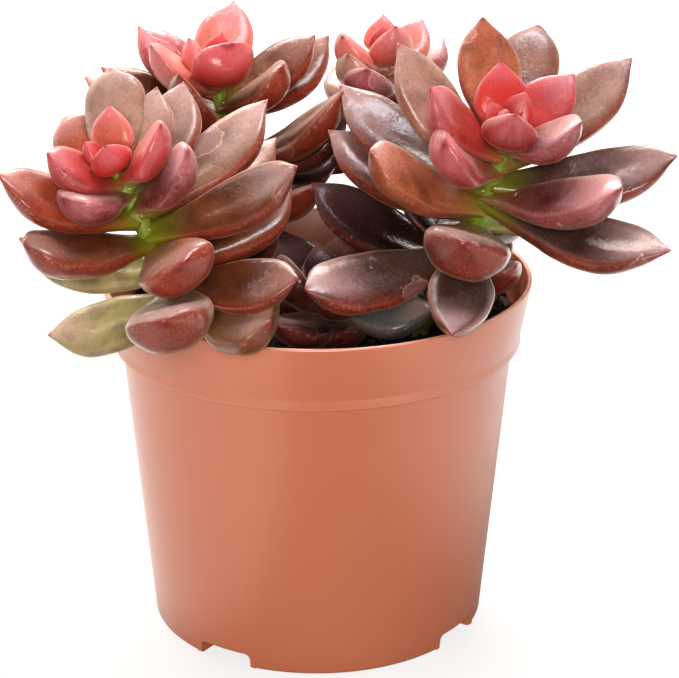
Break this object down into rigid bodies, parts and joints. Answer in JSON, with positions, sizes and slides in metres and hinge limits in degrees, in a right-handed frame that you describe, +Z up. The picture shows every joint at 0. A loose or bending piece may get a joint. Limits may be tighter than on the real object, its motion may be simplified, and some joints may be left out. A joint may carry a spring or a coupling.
{
  "type": "potted succulent",
  "caption": "Potted ghost plant: rosettes of fleshy pointed leaves on leaning stems, in a round tapered plastic pot filled with potting mix.",
  "frame": {"origin": "centre of the pot's underside, on the surface that the pot stands on", "axes": "+Z up, -Y the front that the picture shows, +X to the right from the front"},
  "size_m": [0.15, 0.1316, 0.1535],
  "materials": {
    "terracotta_plastic": "satin terracotta-coloured plastic",
    "potting_mix": "dark moist peat-like mix, rough",
    "leaves": "fleshy leaves, coral to mauve-brown with a pale bloom"
  },
  "bodies": {
    "root": {"pot": "terracotta_plastic", "potting_mix": "potting_mix", "stem_front_right": "leaves", "stem_front_left": "leaves", "stem_back_left": "leaves", "stem_back_middle": "leaves", "shoot_centre": "leaves", "shoot_right": "leaves"}
  },
  "joints": []
}
